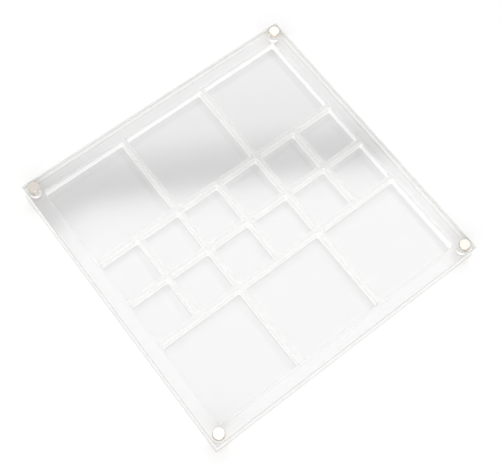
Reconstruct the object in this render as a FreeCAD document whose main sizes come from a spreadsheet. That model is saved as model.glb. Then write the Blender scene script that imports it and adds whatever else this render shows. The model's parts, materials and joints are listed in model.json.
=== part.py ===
# Clear acrylic mixing palette: a milled tray of square wells under a flat lid,
# held shut by pairs of disc magnets in the four corners.
# Millimetres. The origin is the centre of the tray's underside, +Z is up, +Y is the back.
import FreeCAD, Part
import os
import Sketcher

# Driving dimensions
SIZES = [
    ("small_well_width", 23.5),      # along X
    ("small_well_length", 24.3),     # along Y
    ("large_well_length", 48.8),     # along Y
    ("divider_width", 2.6),          # wall left standing between two wells
    ("well_corner_radius", 1.5),     # left by the round cutter
    ("base_thickness", 8.0),         # stock sheet of the tray
    ("floor_thickness", 2.0),        # left under the wells and the magnet pockets
    ("lid_thickness", 4.0),          # stock sheet of the lid
    ("plate_chamfer", 0.3),          # broken edges of both sheets
    ("magnet_diameter", 6.0),
    ("magnet_edge_radius", 0.5),
    ("magnet_rise", 2.0),            # lid magnets stand this far above the lid
    ("magnet_edge_wall", 1.65),      # from a magnet to the plate's side
    ("magnet_inner_land", 0.35),     # from a magnet to the line of the outer well walls
]

SMALL_COLUMNS = 6
LARGE_COLUMNS = 3

doc = FreeCAD.newDocument("palette")
sheet = doc.addObject("Spreadsheet::Sheet", "sizes")
for line, (alias, value) in enumerate(SIZES, start=1):
    sheet.set("A%d" % line, alias)
    sheet.set("B%d" % line, str(value))
    sheet.setAlias("B%d" % line, alias)
doc.recompute()

# Sizes that follow from the driving ones
LARGE_WELL_WIDTH = "(2 * sizes.small_well_width + sizes.divider_width)"
RIM = "(sizes.magnet_edge_wall + sizes.magnet_diameter + sizes.magnet_inner_land)"
SMALL_PITCH_X = "(sizes.small_well_width + sizes.divider_width)"
LARGE_PITCH_X = "(%s + sizes.divider_width)" % LARGE_WELL_WIDTH
FIELD_WIDTH = "(%d * %s - sizes.divider_width)" % (SMALL_COLUMNS, SMALL_PITCH_X)
FIELD_LENGTH = ("(2 * sizes.large_well_length + 2 * sizes.small_well_length"
                " + 3 * sizes.divider_width)")
PLATE_WIDTH = "(%s + 2 * %s)" % (FIELD_WIDTH, RIM)
PLATE_LENGTH = "(%s + 2 * %s)" % (FIELD_LENGTH, RIM)
WELL_DEPTH = "(sizes.base_thickness - sizes.floor_thickness)"
MAGNET_INSET = "(sizes.magnet_edge_wall + sizes.magnet_diameter / 2)"
MAGNET_X = "(%s / 2 - %s)" % (PLATE_WIDTH, MAGNET_INSET)
MAGNET_Y = "(%s / 2 - %s)" % (PLATE_LENGTH, MAGNET_INSET)
SMALL_ROW_Y = "(%s / 2)" % "(sizes.small_well_length + sizes.divider_width)"
LARGE_ROW_Y = "(%s / 2 - sizes.large_well_length / 2)" % FIELD_LENGTH

# Rows of wells from the back to the front: name, wells, width, length, pitch, centre line
ROWS = [
    ("BackLarge", LARGE_COLUMNS, LARGE_WELL_WIDTH, "sizes.large_well_length", LARGE_PITCH_X, LARGE_ROW_Y),
    ("BackSmall", SMALL_COLUMNS, "sizes.small_well_width", "sizes.small_well_length", SMALL_PITCH_X, SMALL_ROW_Y),
    ("FrontSmall", SMALL_COLUMNS, "sizes.small_well_width", "sizes.small_well_length", SMALL_PITCH_X,
     "-" + SMALL_ROW_Y),
    ("FrontLarge", LARGE_COLUMNS, LARGE_WELL_WIDTH, "sizes.large_well_length", LARGE_PITCH_X, "-" + LARGE_ROW_Y),
]

# Corners of the plates, as signs along X and Y
CORNERS = [
    ("back_left", -1, 1),
    ("back_right", 1, 1),
    ("front_left", -1, -1),
    ("front_right", 1, -1),
]

ORIGIN = -1      # sketch geometry index of the origin's axes
START, END, CENTRE = 1, 2, 3
UP = FreeCAD.Vector(0, 0, 1)


def new_body(label):
    body = doc.addObject("PartDesign::Body", label)
    body.Label = label
    return body


def new_sketch(body, name):
    sketch = body.newObject("Sketcher::SketchObject", name)
    plane = [feature for feature in body.Origin.OriginFeatures if feature.Role == "XY_Plane"][0]
    sketch.AttachmentSupport = (plane, [""])
    sketch.MapMode = "FlatFace"
    return sketch


def drive(sketch, constraint, expression):
    index = sketch.addConstraint(constraint)
    sketch.setExpression("Constraints[%d]" % index, expression)


def draw_rectangle(sketch, width, length):
    # Centred on the sketch's origin, drawn anticlockwise from the front left corner
    points = [FreeCAD.Vector(x, y, 0) for x, y in ((-1, -1), (1, -1), (1, 1), (-1, 1))]
    for i in range(4):
        sketch.addGeometry(Part.LineSegment(points[i], points[(i + 1) % 4]))
    for i in range(4):
        sketch.addConstraint(Sketcher.Constraint("Coincident", i, END, (i + 1) % 4, START))
        sketch.addConstraint(Sketcher.Constraint("Vertical" if i % 2 else "Horizontal", i))
    drive(sketch, Sketcher.Constraint("DistanceX", 0, START, 0, END, 2), width)
    drive(sketch, Sketcher.Constraint("DistanceX", 0, START, ORIGIN, START, 1), width + " / 2")
    drive(sketch, Sketcher.Constraint("DistanceY", 1, START, 1, END, 2), length)
    drive(sketch, Sketcher.Constraint("DistanceY", 0, START, ORIGIN, START, 1), length + " / 2")


def draw_rounded_rectangle(sketch, width, length, radius):
    # Centred on the sketch's origin: sides are even and corner arcs odd, anticlockwise from the front side
    half, r = 5.0, 1.0
    quarter = 1.5707963
    flat = half - r
    sides = [((-flat, -half), (flat, -half)), ((half, -flat), (half, flat)),
             ((flat, half), (-flat, half)), ((-half, flat), (-half, -flat))]
    centres = [(flat, -flat), (flat, flat), (-flat, flat), (-flat, -flat)]
    for i in range(4):
        (x0, y0), (x1, y1) = sides[i]
        sketch.addGeometry(Part.LineSegment(FreeCAD.Vector(x0, y0, 0), FreeCAD.Vector(x1, y1, 0)))
        circle = Part.Circle(FreeCAD.Vector(centres[i][0], centres[i][1], 0), UP, r)
        sketch.addGeometry(Part.ArcOfCircle(circle, (i - 1) * quarter, i * quarter))
    for i in range(8):
        sketch.addConstraint(Sketcher.Constraint("Tangent", i, END, (i + 1) % 8, START))
    for side, kind in ((0, "Horizontal"), (2, "Vertical"), (4, "Horizontal"), (6, "Vertical")):
        sketch.addConstraint(Sketcher.Constraint(kind, side))
    for arc in (3, 5, 7):
        sketch.addConstraint(Sketcher.Constraint("Equal", 1, arc))
    drive(sketch, Sketcher.Constraint("Radius", 1, r), radius)
    drive(sketch, Sketcher.Constraint("DistanceX", 6, START, 2, START, 2 * half), width)
    drive(sketch, Sketcher.Constraint("DistanceX", 6, START, ORIGIN, START, half), width + " / 2")
    drive(sketch, Sketcher.Constraint("DistanceY", 0, START, 4, START, 2 * half), length)
    drive(sketch, Sketcher.Constraint("DistanceY", 0, START, ORIGIN, START, half), length + " / 2")


def draw_corner_circles(sketch):
    # One magnet hole in each corner
    for i, (_, sign_x, sign_y) in enumerate(CORNERS):
        centre = FreeCAD.Vector(10 * sign_x, 10 * sign_y, 0)
        sketch.addGeometry(Part.Circle(centre, UP, 1))
        drive(sketch, Sketcher.Constraint("Diameter", i, 2), "sizes.magnet_diameter")
        for kind, sign, distance in (("DistanceX", sign_x, MAGNET_X), ("DistanceY", sign_y, MAGNET_Y)):
            ends = (ORIGIN, START, i, CENTRE) if sign > 0 else (i, CENTRE, ORIGIN, START)
            drive(sketch, Sketcher.Constraint(kind, *ends, 10), distance)


def pad(body, sketch, name, length):
    feature = body.newObject("PartDesign::Pad", name)
    feature.Profile = sketch
    feature.setExpression("Length", length)
    doc.recompute()
    return feature


def sink(body, sketch, name, depth, top):
    # Cut down from the height top, and make sure that something was cut
    before = body.Shape.Volume
    sketch.setExpression("AttachmentOffset.Base.z", top)
    feature = body.newObject("PartDesign::Pocket", name)
    feature.Profile = sketch
    feature.setExpression("Length", depth)
    doc.recompute()
    if not body.Shape.Volume < before:
        raise RuntimeError(name + " cuts nothing")
    return feature


def break_edges(body, base, name, kind, size):
    # Every edge of the base feature gets the same chamfer or round
    feature = body.newObject("PartDesign::" + kind, name)
    feature.Base = (base, ["Edge%d" % (i + 1) for i in range(len(base.Shape.Edges))])
    feature.setExpression("Size" if kind == "Chamfer" else "Radius", size)
    doc.recompute()
    return feature


def make_plate(label, thickness):
    body = new_body(label)
    outline = new_sketch(body, label + "_outline")
    draw_rectangle(outline, PLATE_WIDTH, PLATE_LENGTH)
    blank = pad(body, outline, label + "_blank", thickness)
    break_edges(body, blank, label + "_edges", "Chamfer", "sizes.plate_chamfer")
    return body


def make_base():
    body = make_plate("base_tray", "sizes.base_thickness")
    for name, count, width, length, pitch, row_y in ROWS:
        sketch = new_sketch(body, name + "Outline")
        draw_rounded_rectangle(sketch, width, length, "sizes.well_corner_radius")
        sketch.setExpression("AttachmentOffset.Base.x", "-%s / 2 + %s / 2" % (FIELD_WIDTH, width))
        sketch.setExpression("AttachmentOffset.Base.y", row_y)
        first_well = sink(body, sketch, name + "Well", WELL_DEPTH, "sizes.base_thickness")
        row = body.newObject("PartDesign::LinearPattern", name + "Row")
        row.Originals = [first_well]
        row.Direction = (sketch, ["H_Axis"])
        row.Occurrences = count
        row.setExpression("Length", "%d * %s" % (count - 1, pitch))
        body.Tip = row
        doc.recompute()
    pockets = new_sketch(body, "magnet_pocket_outline")
    draw_corner_circles(pockets)
    body.Tip = sink(body, pockets, "MagnetPockets", WELL_DEPTH, "sizes.base_thickness")
    return body


def make_lid():
    body = make_plate("lid_plate", "sizes.lid_thickness")
    holes = new_sketch(body, "magnet_hole_outline")
    draw_corner_circles(holes)
    body.Tip = sink(body, holes, "MagnetHoles", "sizes.lid_thickness", "sizes.lid_thickness")
    body.setExpression("Placement.Base.z", "sizes.base_thickness")
    return body


def make_magnet(label, sign_x, sign_y, length, bottom):
    body = new_body(label)
    outline = new_sketch(body, label + "_outline")
    outline.addGeometry(Part.Circle(FreeCAD.Vector(0, 0, 0), UP, 1))
    outline.addConstraint(Sketcher.Constraint("Coincident", 0, CENTRE, ORIGIN, START))
    drive(outline, Sketcher.Constraint("Diameter", 0, 2), "sizes.magnet_diameter")
    disc = pad(body, outline, label + "_disc", length)
    feature = body.newObject("PartDesign::Fillet", label + "_edges")
    rims = [i for i, edge in enumerate(disc.Shape.Edges, start=1) if edge.Closed]
    feature.Base = (disc, ["Edge%d" % i for i in rims])
    feature.setExpression("Radius", "sizes.magnet_edge_radius")
    for axis, sign, distance in (("x", sign_x, MAGNET_X), ("y", sign_y, MAGNET_Y)):
        body.setExpression("Placement.Base." + axis, "%d * %s" % (sign, distance))
    body.setExpression("Placement.Base.z", bottom)
    doc.recompute()
    return body


bodies = [make_base(), make_lid()]
for corner, sign_x, sign_y in CORNERS:
    bodies.append(make_magnet("base_magnet_" + corner, sign_x, sign_y, WELL_DEPTH, "sizes.floor_thickness"))
    bodies.append(make_magnet("lid_magnet_" + corner, sign_x, sign_y,
                              "sizes.lid_thickness + sizes.magnet_rise", "sizes.base_thickness"))
doc.recompute()

for item in doc.Objects:
    if "Invalid" in item.State or "Error" in item.State:
        raise RuntimeError(item.Label + " failed to build")
for body in bodies:
    if body.Shape.isNull() or not body.Shape.isValid() or len(body.Shape.Solids) != 1:
        raise RuntimeError(body.Label + " is not one sound solid")

os.makedirs("parts", exist_ok=True)
for body in bodies:
    body.Shape.exportStep(os.path.join("parts", body.Label + ".step"))
    box = body.Shape.BoundBox
    print("%-26s %8.2f mm3  x %.2f..%.2f  y %.2f..%.2f  z %.2f..%.2f" % (
        body.Label, body.Shape.Volume, box.XMin, box.XMax, box.YMin, box.YMax, box.ZMin, box.ZMax))
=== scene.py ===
import bpy
import bmesh
import json
import math
from mathutils import Matrix, Vector


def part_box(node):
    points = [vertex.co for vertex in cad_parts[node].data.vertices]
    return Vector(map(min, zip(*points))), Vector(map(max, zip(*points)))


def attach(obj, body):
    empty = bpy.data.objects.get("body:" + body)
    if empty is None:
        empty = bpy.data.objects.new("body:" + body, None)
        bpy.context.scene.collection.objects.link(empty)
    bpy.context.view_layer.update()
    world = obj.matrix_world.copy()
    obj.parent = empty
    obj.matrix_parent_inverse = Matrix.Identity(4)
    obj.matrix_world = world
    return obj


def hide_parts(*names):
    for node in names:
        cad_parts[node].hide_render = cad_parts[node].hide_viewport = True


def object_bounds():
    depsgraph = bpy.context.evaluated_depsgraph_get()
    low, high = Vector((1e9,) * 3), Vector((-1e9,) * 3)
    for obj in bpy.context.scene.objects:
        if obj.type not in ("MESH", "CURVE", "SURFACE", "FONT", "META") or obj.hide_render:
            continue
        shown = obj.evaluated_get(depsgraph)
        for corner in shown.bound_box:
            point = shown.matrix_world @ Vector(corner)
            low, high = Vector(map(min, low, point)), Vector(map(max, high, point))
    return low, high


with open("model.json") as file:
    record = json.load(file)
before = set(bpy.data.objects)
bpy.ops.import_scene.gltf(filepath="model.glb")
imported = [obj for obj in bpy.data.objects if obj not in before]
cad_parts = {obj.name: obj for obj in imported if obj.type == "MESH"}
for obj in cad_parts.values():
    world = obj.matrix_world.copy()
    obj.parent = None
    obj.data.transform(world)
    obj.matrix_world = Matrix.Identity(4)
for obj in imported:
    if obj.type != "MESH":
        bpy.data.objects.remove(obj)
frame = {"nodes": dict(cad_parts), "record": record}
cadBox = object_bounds()
mm = 0.001
corners = ("back_left", "back_right", "front_left", "front_right")
print("frame loaded:", sorted(frame["nodes"]))


def linear(hexText):
    # sRGB hex to the linear colour a socket takes
    steps = [int(hexText[i:i + 2], 16) / 255 for i in (1, 3, 5)]
    return tuple(s / 12.92 if s <= 0.04045 else ((s + 0.055) / 1.055) ** 2.4 for s in steps) + (1.0,)


def addNode(tree, kind, inputs=None, **settings):
    # one node with its settings; an input is a plain value or the socket that feeds it
    node = tree.nodes.new(kind)
    for name, value in settings.items():
        setattr(node, name, value)
    for name, value in (inputs or {}).items():
        if isinstance(value, bpy.types.NodeSocket):
            tree.links.new(value, node.inputs[name])
        else:
            node.inputs[name].default_value = value
    return node


def newMaterial(name):
    material = bpy.data.materials.new(name)
    material.use_nodes = True
    material.node_tree.nodes.clear()
    return material, material.node_tree


def deselectAll():
    if bpy.context.mode != "OBJECT":
        bpy.ops.object.mode_set(mode="OBJECT")
    bpy.ops.object.select_all(action="DESELECT")


def onlyActive(piece):
    deselectAll()
    piece.select_set(True)
    bpy.context.view_layer.objects.active = piece


def settle(name):
    # names the new primitive and puts its place in its mesh
    piece = bpy.context.active_object
    piece.name = name
    bpy.ops.object.transform_apply(location=True, rotation=True, scale=True)
    return piece


def addBlock(name, low, high):
    deselectAll()
    bpy.ops.mesh.primitive_cube_add(size=1, location=(Vector(low) + Vector(high)) / 2)
    bpy.context.active_object.scale = Vector(high) - Vector(low)
    return settle(name)


def addDisc(name, centre, radius, height, sides):
    deselectAll()
    bpy.ops.mesh.primitive_cylinder_add(vertices=sides, radius=radius, depth=height, location=centre)
    return settle(name)


def addSheet(name, centre, side):
    deselectAll()
    bpy.ops.mesh.primitive_plane_add(size=side, location=centre)
    return settle(name)


def bevelEdges(piece, wanted, width, segments):
    # bevels the edges that wanted(edge) picks
    onlyActive(piece)
    bpy.ops.object.mode_set(mode="EDIT")
    bpy.ops.mesh.select_mode(type="EDGE")
    bpy.ops.mesh.select_all(action="DESELECT")
    mesh = bmesh.from_edit_mesh(piece.data)
    for edge in mesh.edges:
        edge.select_set(wanted(edge))
    bmesh.update_edit_mesh(piece.data)
    bpy.ops.mesh.bevel(offset=width, segments=segments, profile=0.5, affect="EDGES")
    bpy.ops.object.mode_set(mode="OBJECT")


def isUpright(edge):
    # nearly all of the edge's length is height
    a, b = (v.co for v in edge.verts)
    return abs(a.z - b.z) > 0.9 * (a - b).length


def joinAll(pieces, name):
    deselectAll()
    for piece in pieces:
        piece.select_set(True)
    bpy.context.view_layer.objects.active = pieces[0]
    bpy.ops.object.join()
    pieces[0].name = name
    return pieces[0]


def cutAway(piece, cutter):
    onlyActive(piece)
    bpy.ops.object.modifier_add(type="BOOLEAN")
    cut = piece.modifiers[-1]
    cut.operation = "DIFFERENCE"
    cut.solver = "EXACT"
    cut.object = cutter
    bpy.ops.object.modifier_apply(modifier=cut.name)
    bpy.data.objects.remove(cutter)


sharpDegrees = 60   # edges sharper than this are broken


def roundSharpEdges(piece, width, segments):
    # breaks the rims that the cutters left, and keeps the flats flat
    onlyActive(piece)
    bpy.ops.object.modifier_add(type="BEVEL")
    bevel = piece.modifiers[-1]
    bevel.limit_method = "ANGLE"
    bevel.angle_limit = math.radians(sharpDegrees)
    bevel.width = width
    bevel.segments = segments
    bevel.use_clamp_overlap = True
    bpy.ops.object.modifier_apply(modifier=bevel.name)
    bpy.ops.object.shade_flat()


def dress(piece, material, body, slot, *nodes):
    piece.data.materials.clear()
    piece.data.materials.append(material)
    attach(piece, body)
    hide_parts(*nodes)


def letLightThrough(tree, shader):
    # light on its way to what lies below passes the clear sheet unbent
    path = addNode(tree, "ShaderNodeLightPath")
    clear = addNode(tree, "ShaderNodeBsdfTransparent")
    first = addNode(tree, "ShaderNodeMixShader", {
        0: path.outputs["Is Shadow Ray"], 1: shader.outputs["BSDF"], 2: clear.outputs["BSDF"]})
    second = addNode(tree, "ShaderNodeMixShader", {
        0: path.outputs["Is Diffuse Ray"], 1: first.outputs["Shader"], 2: clear.outputs["BSDF"]})
    addNode(tree, "ShaderNodeOutputMaterial", {"Surface": second.outputs["Shader"]})


# Cast acrylic, cut from clear sheet and polished: no colour of its own, bright where it
# bends the light at an edge, and a faint waviness from the casting that only reflections show
acrylicLook = {
    "ior": 1.49,
    "tint": "#ffffff",
    "waveMm": 60.0,         # length of the casting's waviness
    "waveHeightMm": 0.002,
    "hazeMm": 0.8,          # size of the handling haze
    "hazeFrom": (0.45, 0.8),    # levels of its noise where it begins and is full
    "rough": (0.0, 0.02),   # without haze and with it
}

# Tops between the wells, skimmed by the cutter: mostly matt white, with a little still clear
skimmedLook = {
    "halfMm": 77.1,         # the wells' field reaches this far from the middle
    "aboveMm": 7.5,         # and its tops lie above this
    "tint": "#dcdcda",
    "rough": 0.3,           # comes on top of the sheet's own
    "cover": 0.7,           # the rest stays clear
}


def skimShare(tree, place, look):
    # the cover on the tops between the wells, 0 elsewhere
    folded = addNode(tree, "ShaderNodeVectorMath", {0: place.outputs["Object"]}, operation="ABSOLUTE")
    each = addNode(tree, "ShaderNodeSeparateXYZ", {"Vector": folded.outputs["Vector"]})
    away = addNode(tree, "ShaderNodeMath", {
        0: each.outputs["X"], 1: each.outputs["Y"]}, operation="MAXIMUM")
    within = addNode(tree, "ShaderNodeMath", {
        0: away.outputs["Value"], 1: look["halfMm"] * mm}, operation="LESS_THAN")
    above = addNode(tree, "ShaderNodeMath", {
        0: each.outputs["Z"], 1: look["aboveMm"] * mm}, operation="GREATER_THAN")
    both = addNode(tree, "ShaderNodeMath", {
        0: within.outputs["Value"], 1: above.outputs["Value"]}, operation="MULTIPLY")
    share = addNode(tree, "ShaderNodeMath", {
        0: both.outputs["Value"], 1: look["cover"]}, operation="MULTIPLY")
    return share.outputs["Value"]


def clearAcrylic(name, look, skimmed=None):
    material, tree = newMaterial(name)
    place = addNode(tree, "ShaderNodeTexCoord")
    wave = addNode(tree, "ShaderNodeTexNoise", {
        "Vector": place.outputs["Object"], "Scale": 1000 / look["waveMm"], "Detail": 1.0})
    bump = addNode(tree, "ShaderNodeBump", {
        "Height": wave.outputs["Fac"], "Distance": look["waveHeightMm"] * mm, "Strength": 1.0})
    haze = addNode(tree, "ShaderNodeTexNoise", {
        "Vector": place.outputs["Object"], "Scale": 1000 / look["hazeMm"], "Detail": 4.0})
    rough = addNode(tree, "ShaderNodeMapRange", {
        "Value": haze.outputs["Fac"], "From Min": look["hazeFrom"][0], "From Max": look["hazeFrom"][1],
        "To Min": look["rough"][0], "To Max": look["rough"][1]})
    surface = {
        "Base Color": linear(look["tint"]), "IOR": look["ior"], "Transmission Weight": 1.0,
        "Roughness": rough.outputs["Result"], "Normal": bump.outputs["Normal"]}
    if skimmed:
        share = skimShare(tree, place, skimmed)
        clear = addNode(tree, "ShaderNodeMath", {0: 1.0, 1: share}, operation="SUBTRACT")
        matt = addNode(tree, "ShaderNodeMath", {
            0: share, 1: skimmed["rough"], 2: rough.outputs["Result"]}, operation="MULTIPLY_ADD")
        colour = addNode(tree, "ShaderNodeMix", {
            "Factor": share, 6: linear(look["tint"]), 7: linear(skimmed["tint"])}, data_type="RGBA")
        surface["Base Color"] = colour.outputs[2]
        surface["Transmission Weight"] = clear.outputs["Value"]
        surface["Roughness"] = matt.outputs["Value"]
    letLightThrough(tree, addNode(tree, "ShaderNodeBsdfPrincipled", surface))
    return material


# The same acrylic where a tool has cut it. Walls and dividers are frosted white, with painted light
# that makes them brightest at the foot and greyer toward the rim, the rims between wells are whiter
# than the walls' tops, floors stay clear with a band of painted shade along their back and right walls,
# and the scraped outer edges are tinted grey as painted shade that draws a matt grey outline
milledLook = {
    "ior": 1.49,
    "markMm": 3.14,         # spacing of the tool marks, drawn coarse enough to show
    "bandMm": (3.0, 5.6),   # a floor's painted shade band fades out between these, from its walls
    "finishes": {
        "wall": {
            "name": "cast_acrylic_milled_wall", "tint": "#e4e4e2",
            "foot": "#ffffff", "footMm": (5.0, 7.6),    # heights where the painted light at the foot fades out
            "clear": 0.0, "rough": (0.3, 0.5), "depthMm": 0.001},
        "side": {
            "name": "cast_acrylic_sawn_side", "tint": "#f8f9f7",
            "clear": 0.2, "rough": (0.3, 0.5), "depthMm": 0.004},
        "floor": {
            # the floor's band colour is painted shade along its back and right walls
            "name": "cast_acrylic_milled_floor", "tint": "#fafafa", "band": "#e9e9e9",
            "clear": 1.0, "rough": (0.0, 0.02), "depthMm": 0.0005},
        "edge": {
            # the edges are scraped rough; their grey is painted shade that draws the outline
            "name": "cast_acrylic_scraped_edge_painted_shade", "tint": "#cacac6",
            "clear": 0.2, "rough": (0.4, 0.6), "depthMm": 0.01},
        "divider": {
            # painted light: dividers brighter at the foot than near the rim
            "name": "cast_acrylic_milled_divider", "tint": "#eeeeec",
            "foot": "#f4f4f2", "footMm": (3.4, 6.6),
            "clear": 0.0, "rough": (0.3, 0.5), "depthMm": 0.001},
        "rim": {
            "name": "cast_acrylic_milled_rim", "tint": "#f6f6f4",
            "clear": 0.0, "rough": (0.3, 0.5), "depthMm": 0.001},
    },
}
waveBand = 2 * math.pi / 20     # one band of the wave texture at a scale of 1, in metres


def paintedShadeShare(tree, place, look):
    # share of the painted shade: 0 on a floor's open middle, a half beside its back or right wall and 1
    # in their corner
    far = addNode(tree, "ShaderNodeAttribute", attribute_name="wellFar")
    away = addNode(tree, "ShaderNodeVectorMath", {
        0: far.outputs["Vector"], 1: place.outputs["Object"]}, operation="SUBTRACT")
    each = addNode(tree, "ShaderNodeSeparateXYZ", {"Vector": away.outputs["Vector"]})
    full, gone = (reach * mm for reach in look["bandMm"])
    beside = [addNode(tree, "ShaderNodeMapRange", {
        "Value": each.outputs[axis], "From Min": full, "From Max": gone, "To Min": 0.5, "To Max": 0.0},
        interpolation_type="SMOOTHSTEP") for axis in ("X", "Y")]
    both = addNode(tree, "ShaderNodeMath", {
        0: beside[0].outputs["Result"], 1: beside[1].outputs["Result"]}, operation="ADD")
    return both.outputs["Value"]


def paintedFootLightShare(tree, place, finish):
    # share of the painted light: 0 at a wall's brighter foot, 1 near its greyer rim
    height = addNode(tree, "ShaderNodeSeparateXYZ", {"Vector": place.outputs["Object"]})
    low, high = (level * mm for level in finish["footMm"])
    up = addNode(tree, "ShaderNodeMapRange", {
        "Value": height.outputs["Z"], "From Min": low, "From Max": high}, interpolation_type="SMOOTHSTEP")
    return up.outputs["Result"]


def milledAcrylic(look, finish):
    material, tree = newMaterial(finish["name"])
    place = addNode(tree, "ShaderNodeTexCoord")
    marks = addNode(tree, "ShaderNodeTexWave", {
        "Vector": place.outputs["Object"], "Scale": waveBand / (look["markMm"] * mm),
        "Distortion": 1.5, "Detail": 2.0}, bands_direction="Z")
    rough = addNode(tree, "ShaderNodeMapRange", {
        "Value": marks.outputs["Fac"], "To Min": finish["rough"][0], "To Max": finish["rough"][1]})
    bump = addNode(tree, "ShaderNodeBump", {
        "Height": marks.outputs["Fac"], "Distance": finish["depthMm"] * mm, "Strength": 1.0})
    tint = linear(finish["tint"])
    # painted light: walls and dividers brighter at the foot, greyer toward the rim
    if "foot" in finish:
        tint = addNode(tree, "ShaderNodeMix", {
            "Factor": paintedFootLightShare(tree, place, finish), 6: linear(finish["foot"]), 7: tint},
            data_type="RGBA").outputs[2]
    # painted shade: floors greyer along their back and right walls
    if "band" in finish:
        tint = addNode(tree, "ShaderNodeMix", {
            "Factor": paintedShadeShare(tree, place, look), 6: tint, 7: linear(finish["band"])},
            data_type="RGBA").outputs[2]
    shader = addNode(tree, "ShaderNodeBsdfPrincipled", {
        "Base Color": tint, "IOR": look["ior"], "Transmission Weight": finish["clear"],
        "Roughness": rough.outputs["Result"], "Normal": bump.outputs["Normal"]})
    letLightThrough(tree, shader)
    return material


# Bright nickel plate over a pressed magnet: a warm mirror, a little blurred, finely pitted
nickelLook = {
    "bright": "#f6f1e9",
    "dull": "#ebe3d8",
    "pitMm": 0.25,
    "pitDepthMm": 0.004,
    "pitStrength": 0.5,
    "pitFrom": (0.3, 0.7),  # levels of the pits' noise that are smoothest and roughest
    "rough": (0.26, 0.36),
}


def brightNickel(name, look):
    material, tree = newMaterial(name)
    place = addNode(tree, "ShaderNodeTexCoord")
    pits = addNode(tree, "ShaderNodeTexNoise", {
        "Vector": place.outputs["Object"], "Scale": 1000 / look["pitMm"], "Detail": 3.0})
    colour = addNode(tree, "ShaderNodeMix", {
        "Factor": pits.outputs["Fac"], 6: linear(look["dull"]), 7: linear(look["bright"])},
        data_type="RGBA")
    rough = addNode(tree, "ShaderNodeMapRange", {
        "Value": pits.outputs["Fac"], "From Min": look["pitFrom"][0], "From Max": look["pitFrom"][1],
        "To Min": look["rough"][0], "To Max": look["rough"][1]})
    bump = addNode(tree, "ShaderNodeBump", {
        "Height": pits.outputs["Fac"], "Distance": look["pitDepthMm"] * mm,
        "Strength": look["pitStrength"]})
    shader = addNode(tree, "ShaderNodeBsdfPrincipled", {
        "Base Color": colour.outputs[2], "Metallic": 1.0, "Roughness": rough.outputs["Result"],
        "Normal": bump.outputs["Normal"]})
    addNode(tree, "ShaderNodeOutputMaterial", {"Surface": shader.outputs["BSDF"]})
    return material


trayAcrylic = clearAcrylic("cast_acrylic_polished", acrylicLook, skimmedLook)
lidAcrylic = clearAcrylic("cast_acrylic_sheet", acrylicLook)
milled = {kind: milledAcrylic(milledLook, finish) for kind, finish in milledLook["finishes"].items()}
nickel = brightNickel("nickel_plate_bright", nickelLook)
print("materials made")

# Faces of a sheet, told apart by their slope and place
faceSort = {
    "flat": 0.95,           # a flat's normal has at least this much of its length along z
    "broken": 0.2,          # a broken edge's has at least this much
    "outerMm": 0.4,         # outer sides and edges lie within this of the outline
    "borderMm": 8.6,        # border walls lie within this of it
    "holeMm": 3.4,          # a magnet's hole and its rim lie within this of its axis
    "skinMm": 0.5,          # the sheet's own two faces lie within this of its top and underside
}


def finishFaces(piece, sort, holeFinish, low, high):
    # each face gets the finish of the tool that made it; the sheet's own two faces stay polished
    index = {"skin": 0}
    for kind, material in milled.items():
        index[kind] = len(piece.data.materials)
        piece.data.materials.append(material)
    magnetLow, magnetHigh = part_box("lid_magnet_back_right")
    axis = (magnetLow + magnetHigh) / 2
    for face in piece.data.polygons:
        level = abs(face.normal.z)
        x, y, z = abs(face.center.x), abs(face.center.y), face.center.z
        inward = high.x - max(x, y)
        if level > sort["flat"]:
            sunk = low.z + sort["skinMm"] * mm < z < high.z - sort["skinMm"] * mm
            kind = "floor" if sunk else "skin"
        elif inward < sort["outerMm"] * mm:
            kind = "edge" if level > sort["broken"] else "side"
        elif math.hypot(x - axis.x, y - axis.y) < sort["holeMm"] * mm:
            kind = holeFinish
        elif inward < sort["borderMm"] * mm:
            kind = "wall"
        elif level > sort["broken"] and z > high.z - sort["skinMm"] * mm:
            kind = "rim"
        else:
            kind = "divider"
        face.material_index = index[kind]


def magnetCutters(look, kind, bottom, top):
    cutters = []
    for corner in corners:
        low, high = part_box(kind + "_magnet_" + corner)
        centre = (low + high) / 2
        centre.z = (bottom + top) / 2
        radius = (high.x - low.x) / 2 + look["pocketClearMm"] * mm
        cutters.append(addDisc(kind + "_bore_" + corner, centre, radius, top - bottom, look["holeSteps"]))
    return cutters


# Tray: a sheet with its edges broken, then the wells and magnet pockets milled into it
tray = {
    "edgeMm": 0.3,
    "edgeSteps": 2,
    "rimMm": 0.22,          # milled rims are broken this much
    "cornerMm": 1.5,        # left by the round cutter
    "cornerSteps": 10,
    "boxClearMm": 0.9,      # the record's boxes stand this far inside the walls
    "pocketClearMm": 0.08,  # air round a magnet
    "pocketGapMm": 0.02,    # and under it
    "holeSteps": 64,
    "pastMm": 5.0,          # a cutter runs this far past the face
}


def wellBoxes(look):
    # the walls of each well, as low and high corners
    grow = Vector((1, 1, 0)) * look["boxClearMm"] * mm
    boxes = (opening["box_m"] for opening in frame["record"]["physics"]["openings"])
    return [(Vector(low) - grow, Vector(high) + grow) for low, high in boxes]


def wellCutters(look, wells, floor, top):
    cutters = []
    for low, high in wells:
        cutter = addBlock("well_cutter", (low.x, low.y, floor), (high.x, high.y, top))
        bevelEdges(cutter, isUpright, look["cornerMm"] * mm, look["cornerSteps"])
        cutters.append(cutter)
    return cutters


def markWells(piece, wells):
    # each face in a well keeps the well's far corner, which the floor's painted shade band reads
    farOff = (1, 1, 0)      # a metre away, for a face in no well
    farCorner = piece.data.attributes.new("wellFar", "FLOAT_VECTOR", "FACE")
    for face in piece.data.polygons:
        farCorner.data[face.index].vector = farOff
        for low, high in wells:
            if low.x < face.center.x < high.x and low.y < face.center.y < high.y:
                farCorner.data[face.index].vector = high


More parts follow.
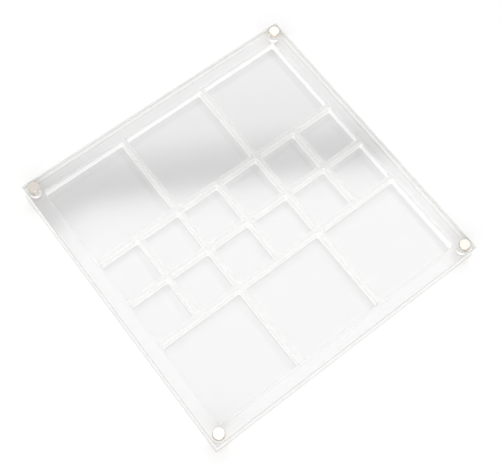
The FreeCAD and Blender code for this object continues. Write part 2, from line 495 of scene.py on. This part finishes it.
def makeTray(look):
    low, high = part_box("base_tray")
    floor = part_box("base_magnet_back_left")[0].z    # a well is as deep as a magnet is long
    past = high.z + look["pastMm"] * mm
    wells = wellBoxes(look)
    piece = addBlock("tray_body", low, high)
    bevelEdges(piece, lambda edge: True, look["edgeMm"] * mm, look["edgeSteps"])
    cutters = wellCutters(look, wells, floor, past)
    cutters += magnetCutters(look, "base", floor - look["pocketGapMm"] * mm, past)
    cutAway(piece, joinAll(cutters, "tray_cutter"))
    roundSharpEdges(piece, look["rimMm"] * mm, look["edgeSteps"])
    dress(piece, trayAcrylic, "base", "tray_acrylic", "base_tray")
    finishFaces(piece, faceSort, "wall", low, high)
    markWells(piece, wells)


makeTray(tray)
print("tray made")

# Lid: a sheet of the same outline, with a polished hole for a magnet in each corner
lid = {
    "edgeMm": 0.3,
    "edgeSteps": 2,
    "rimMm": 0.15,
    "pocketClearMm": 0.08,
    "holeSteps": 64,
    "airMm": 0.04,          # film of air between lid and tray
    "pastMm": 5.0,
}


def makeLid(look):
    low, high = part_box("lid_plate")
    low.z += look["airMm"] * mm
    past = look["pastMm"] * mm
    piece = addBlock("lid_sheet", low, high)
    bevelEdges(piece, lambda edge: True, look["edgeMm"] * mm, look["edgeSteps"])
    cutters = magnetCutters(look, "lid", low.z - past, high.z + past)
    cutAway(piece, joinAll(cutters, "lid_cutter"))
    roundSharpEdges(piece, look["rimMm"] * mm, look["edgeSteps"])
    dress(piece, lidAcrylic, "lid", "lid_acrylic", "lid_plate")
    finishFaces(piece, faceSort, "skin", low, high)


makeLid(lid)
print("lid made")

# Magnets: pressed discs with rounded rims, plated all over; one is modelled and copied
magnet = {
    "edgeMm": 0.3,
    "edgeSteps": 6,
    "sides": 72,
    "smoothDegrees": 30,
    "flat": 0.999,          # a normal this much along z marks an end, which is shaded flat
}


def makeDisc(look):
    low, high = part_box("lid_magnet_back_left")
    disc = addDisc("magnet_disc", (0, 0, 0), (high.x - low.x) / 2, high.z - low.z, look["sides"])
    bevelEdges(disc, lambda edge: not isUpright(edge), look["edgeMm"] * mm, look["edgeSteps"])
    onlyActive(disc)
    bpy.ops.object.shade_smooth_by_angle(angle=math.radians(look["smoothDegrees"]))
    for face in disc.data.polygons:
        if abs(face.normal.z) > look["flat"]:
            face.use_smooth = False
    return disc


def pressIn(disc, kind, corner):
    node = kind + "_magnet_" + corner
    low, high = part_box(node)
    onlyActive(disc)
    bpy.ops.object.duplicate()
    bpy.context.active_object.location = (low + high) / 2
    piece = settle(node + "_disc")
    dress(piece, nickel, kind, "nickel_plating", node)


disc = makeDisc(magnet)
for corner in corners:
    pressIn(disc, "lid", corner)
    pressIn(disc, "base", corner)
bpy.data.objects.remove(disc)
print("magnets made")

# Floor: white paper board, matt, with fibres that barely show
board = {
    "sideM": 6.0,
    "dropMm": 0.15,         # below the tray
    "pulp": "#fdfdfd",
    "pulpAlt": "#fbfbfb",
    "fibreMm": 1.5,
}

# Card: pale grey card on the board, a hair wider than the tray all round; its grey is painted shade
# that darkens the floor seen through the tray and draws a shadow line just past its edge
shadeCard = {
    "overMm": 0.45,
    "dropMm": 0.1,
    "pulp": "#e2e2e2",
    "pulpAlt": "#e0e0e0",
    "fibreMm": 1.0,
}


def pulpPaper(name, look):
    material, tree = newMaterial(name)
    place = addNode(tree, "ShaderNodeTexCoord")
    fibre = addNode(tree, "ShaderNodeTexNoise", {
        "Vector": place.outputs["Object"], "Scale": 1000 / look["fibreMm"]})
    colour = addNode(tree, "ShaderNodeMix", {
        "Factor": fibre.outputs["Fac"], 6: linear(look["pulp"]), 7: linear(look["pulpAlt"])},
        data_type="RGBA")
    shader = addNode(tree, "ShaderNodeBsdfDiffuse", {"Color": colour.outputs[2]})
    addNode(tree, "ShaderNodeOutputMaterial", {"Surface": shader.outputs["BSDF"]})
    return material


def laySheet(name, paper, look, side):
    sheet = addSheet(name, (0, 0, cadBox[0][2] - look["dropMm"] * mm), side)
    sheet.data.materials.append(pulpPaper(paper, look))


trayLow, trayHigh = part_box("base_tray")
laySheet("floor", "white_board", board, board["sideM"])
# the grey card is painted shade under the tray
laySheet("shadeCard", "painted_shade_grey", shadeCard, trayHigh.x - trayLow.x + 2 * shadeCard["overMm"] * mm)

# Studio: an even fill all round, a soft box overhead that the lid mirrors to the camera,
# and a low one in front that lights the upright walls
studio = {
    "fill": 0.42,
    "overhead": {"way": (0.255, 0.274, 0.927), "lift": 1.53, "fullDegrees": 22.0, "goneDegrees": 32.0},
    "front": {"way": (-0.655, -0.655, 0.375), "lift": 1.35, "fullDegrees": 35.0, "goneDegrees": 60.0},
}


def addSoftbox(tree, way, box):
    # the light of one box by direction: full about its middle, gone past its soft edge
    facing = addNode(tree, "ShaderNodeVectorMath", {
        0: way.outputs["Generated"], 1: box["way"]}, operation="DOT_PRODUCT")
    gone, full = (math.cos(math.radians(box[key])) for key in ("goneDegrees", "fullDegrees"))
    glow = addNode(tree, "ShaderNodeMapRange", {
        "Value": facing.outputs["Value"], "From Min": gone, "From Max": full, "To Max": box["lift"]},
        interpolation_type="SMOOTHSTEP")
    return glow.outputs["Result"]


def lightStudio(look):
    world = bpy.data.worlds.new("studio")
    bpy.context.scene.world = world
    world.use_nodes = True
    tree = world.node_tree
    tree.nodes.clear()
    way = addNode(tree, "ShaderNodeTexCoord")
    level = look["fill"]
    for box in (look["overhead"], look["front"]):
        level = addNode(tree, "ShaderNodeMath", {
            0: addSoftbox(tree, way, box), 1: level}, operation="ADD").outputs["Value"]
    white = linear("#ffffff")
    light = addNode(tree, "ShaderNodeBackground", {"Color": white, "Strength": level})
    # past the board's far edge the camera sees plain white
    plain = addNode(tree, "ShaderNodeBackground", {"Color": white, "Strength": 1.0})
    path = addNode(tree, "ShaderNodeLightPath")
    seen = addNode(tree, "ShaderNodeMixShader", {
        0: path.outputs["Is Camera Ray"], 1: light.outputs["Background"], 2: plain.outputs["Background"]})
    addNode(tree, "ShaderNodeOutputWorld", {"Surface": seen.outputs["Shader"]})


lightStudio(studio)

# Flag: black gauze with a round-cornered window, hung over the tray; the camera meets it only
# in what the acrylic and the magnets mirror or bend, and it takes no light from the scene
flag = {
    "heightMm": 224.0,
    "sideMm": 1400.0,
    "windowMm": (-71.4, -199.7),    # middle of the window
    "halfMm": (170.8, 330.0),
    "cornerMm": 60.0,
    "turnDegrees": -27.6,
    # how much the gauze covers, by mm past the window's edge
    "cover": ((-35, 0.0), (-17, 0.15), (-7, 0.4), (-2, 0.65), (3, 0.9), (7, 1.0), (12, 1.0), (20, 0.95),
              (27, 0.82), (37, 0.55), (45, 0.41), (65, 0.35), (90, 0.27), (150, 0.2), (400, 0.0)),
}


def gauzeCover(tree, look, centre):
    # the gauze's see-through colour, by distance from the window's round-cornered outline
    place = addNode(tree, "ShaderNodeTexCoord")
    turned = addNode(tree, "ShaderNodeMapping", {
        "Vector": place.outputs["Object"], "Location": centre,
        "Rotation": (0, 0, math.radians(look["turnDegrees"]))}, vector_type="TEXTURE")
    folded = addNode(tree, "ShaderNodeVectorMath", {0: turned.outputs["Vector"]}, operation="ABSOLUTE")
    inner = [(half - look["cornerMm"]) * mm for half in look["halfMm"]]
    beyond = addNode(tree, "ShaderNodeVectorMath", {
        0: folded.outputs["Vector"], 1: (*inner, 0)}, operation="SUBTRACT")
    kept = addNode(tree, "ShaderNodeVectorMath", {
        0: beyond.outputs["Vector"], 1: (0, 0, 0)}, operation="MAXIMUM")
    away = addNode(tree, "ShaderNodeVectorMath", {0: kept.outputs["Vector"]}, operation="LENGTH")
    first, last = look["cover"][0][0], look["cover"][-1][0]
    share = addNode(tree, "ShaderNodeMapRange", {
        "Value": away.outputs["Value"], "From Min": (look["cornerMm"] + first) * mm,
        "From Max": (look["cornerMm"] + last) * mm})
    cover = addNode(tree, "ShaderNodeValToRGB", {"Fac": share.outputs["Result"]})
    steps = cover.color_ramp.elements
    while len(steps) < len(look["cover"]):
        steps.new(1.0)
    for step, (past, level) in zip(steps, look["cover"]):
        step.position = (past - first) / (last - first)
        step.color = (1 - level, 1 - level, 1 - level, 1)
    return cover.outputs["Color"]


def hangFlag(look):
    centre = Vector((*look["windowMm"], look["heightMm"])) * mm
    cloth = addSheet("flag", centre, look["sideMm"] * mm)
    material, tree = newMaterial("black_gauze")
    gauze = addNode(tree, "ShaderNodeBsdfTransparent", {"Color": gauzeCover(tree, look, centre)})
    addNode(tree, "ShaderNodeOutputMaterial", {"Surface": gauze.outputs["BSDF"]})
    cloth.data.materials.append(material)
    cloth.visible_camera = False
    cloth.visible_diffuse = False
    cloth.visible_shadow = False


hangFlag(flag)

# Camera: fitted to the plate's corners in the photograph
photoCamera = {
    "placeMm": (-125.6, -135.0, 468.5),
    "aimMm": (-6.0, -8.9, 12.0),
    "rollDegrees": 6.14,
    "lensMm": 67.66,
    "sensorMm": 36.0,
    "shiftUp": -0.001,
    "nearMm": 10.0,
}


def makeCamera(look):
    data = bpy.data.cameras.new("photo_camera")
    data.lens = look["lensMm"]
    data.sensor_width = look["sensorMm"]
    data.shift_y = look["shiftUp"]
    data.clip_start = look["nearMm"] * mm
    camera = bpy.data.objects.new("photo_camera", data)
    bpy.context.scene.collection.objects.link(camera)
    place, aim = (Vector(look[key]) * mm for key in ("placeMm", "aimMm"))
    turn = (aim - place).to_track_quat("-Z", "Y").to_matrix().to_4x4()
    roll = Matrix.Rotation(math.radians(look["rollDegrees"]), 4, "Z")
    camera.matrix_world = Matrix.Translation(place) @ turn @ roll
    bpy.context.scene.camera = camera


makeCamera(photoCamera)

# light crosses many faces on its way through the lid, the dividers and the tray
scene = bpy.context.scene
scene.view_settings.view_transform = "Standard"
scene.cycles.blur_glossy = 0.0
scene.cycles.max_bounces = 96
scene.cycles.transmission_bounces = 96
scene.cycles.glossy_bounces = 64
scene.cycles.diffuse_bounces = 32
scene.cycles.transparent_max_bounces = 32
print("studio and camera made")
